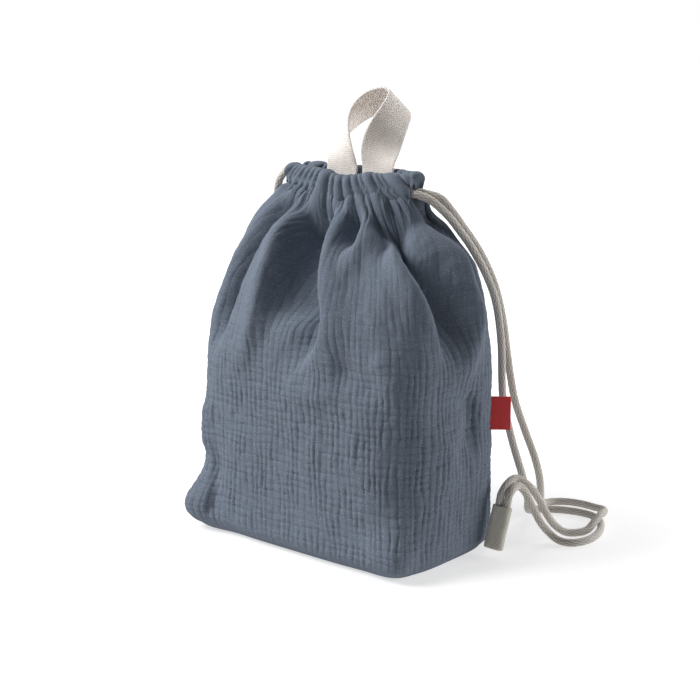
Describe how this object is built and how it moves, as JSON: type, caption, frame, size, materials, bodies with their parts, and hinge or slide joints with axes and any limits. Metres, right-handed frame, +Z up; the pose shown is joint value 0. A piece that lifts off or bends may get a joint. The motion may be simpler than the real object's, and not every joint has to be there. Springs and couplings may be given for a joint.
{
  "type": "drawstring backpack",
  "caption": "Soft cloth drawstring backpack with a boxed base, gathered mouth, rope cords that double as shoulder straps, a webbing grab loop and a side tag.",
  "frame": {"origin": "middle of the base, on the surface the bag stands on", "axes": "+Z up, -Y towards the front panel, +X towards the side with the tag"},
  "size_m": [0.346, 0.2696, 0.3759],
  "materials": {
    "cloth": "crinkled double gauze",
    "lining": "plain weave",
    "cord": "braided rope",
    "webbing": "woven webbing",
    "tag": "woven ribbon"
  },
  "bodies": {
    "bag": {"front_panel": "cloth", "back_panel": "cloth", "base_panel": "cloth", "front_lining": "lining", "back_lining": "lining", "base_lining": "lining", "front_casing": "cloth", "back_casing": "cloth", "drawcord_right_run": "cord", "drawcord_left_run": "cord", "drawcord_right_front": "cord", "drawcord_right_back": "cord", "drawcord_left_front": "cord", "drawcord_left_back": "cord", "tab_right": "webbing", "tab_left": "webbing", "handle_foot_left": "webbing", "handle_foot_right": "webbing"},
    "handle": {"handle_loop": "webbing"},
    "tag": {"side_tag": "tag"}
  },
  "joints": [
    {"name": "handle_bend", "type": "hinge", "parent": "bag", "child": "handle", "pos_m": [0, 0.01706, 0.3143], "axis": [1, 0, 0], "range_deg": [-50, 80], "stiffness_Nm_per_rad": 0.05},
    {"name": "tag_bend", "type": "hinge", "parent": "bag", "child": "tag", "pos_m": [0.1128, 0.0508, 0.116], "axis": [0, 0, 1], "range_deg": [-60, 60], "stiffness_Nm_per_rad": 0.002}
  ]
}
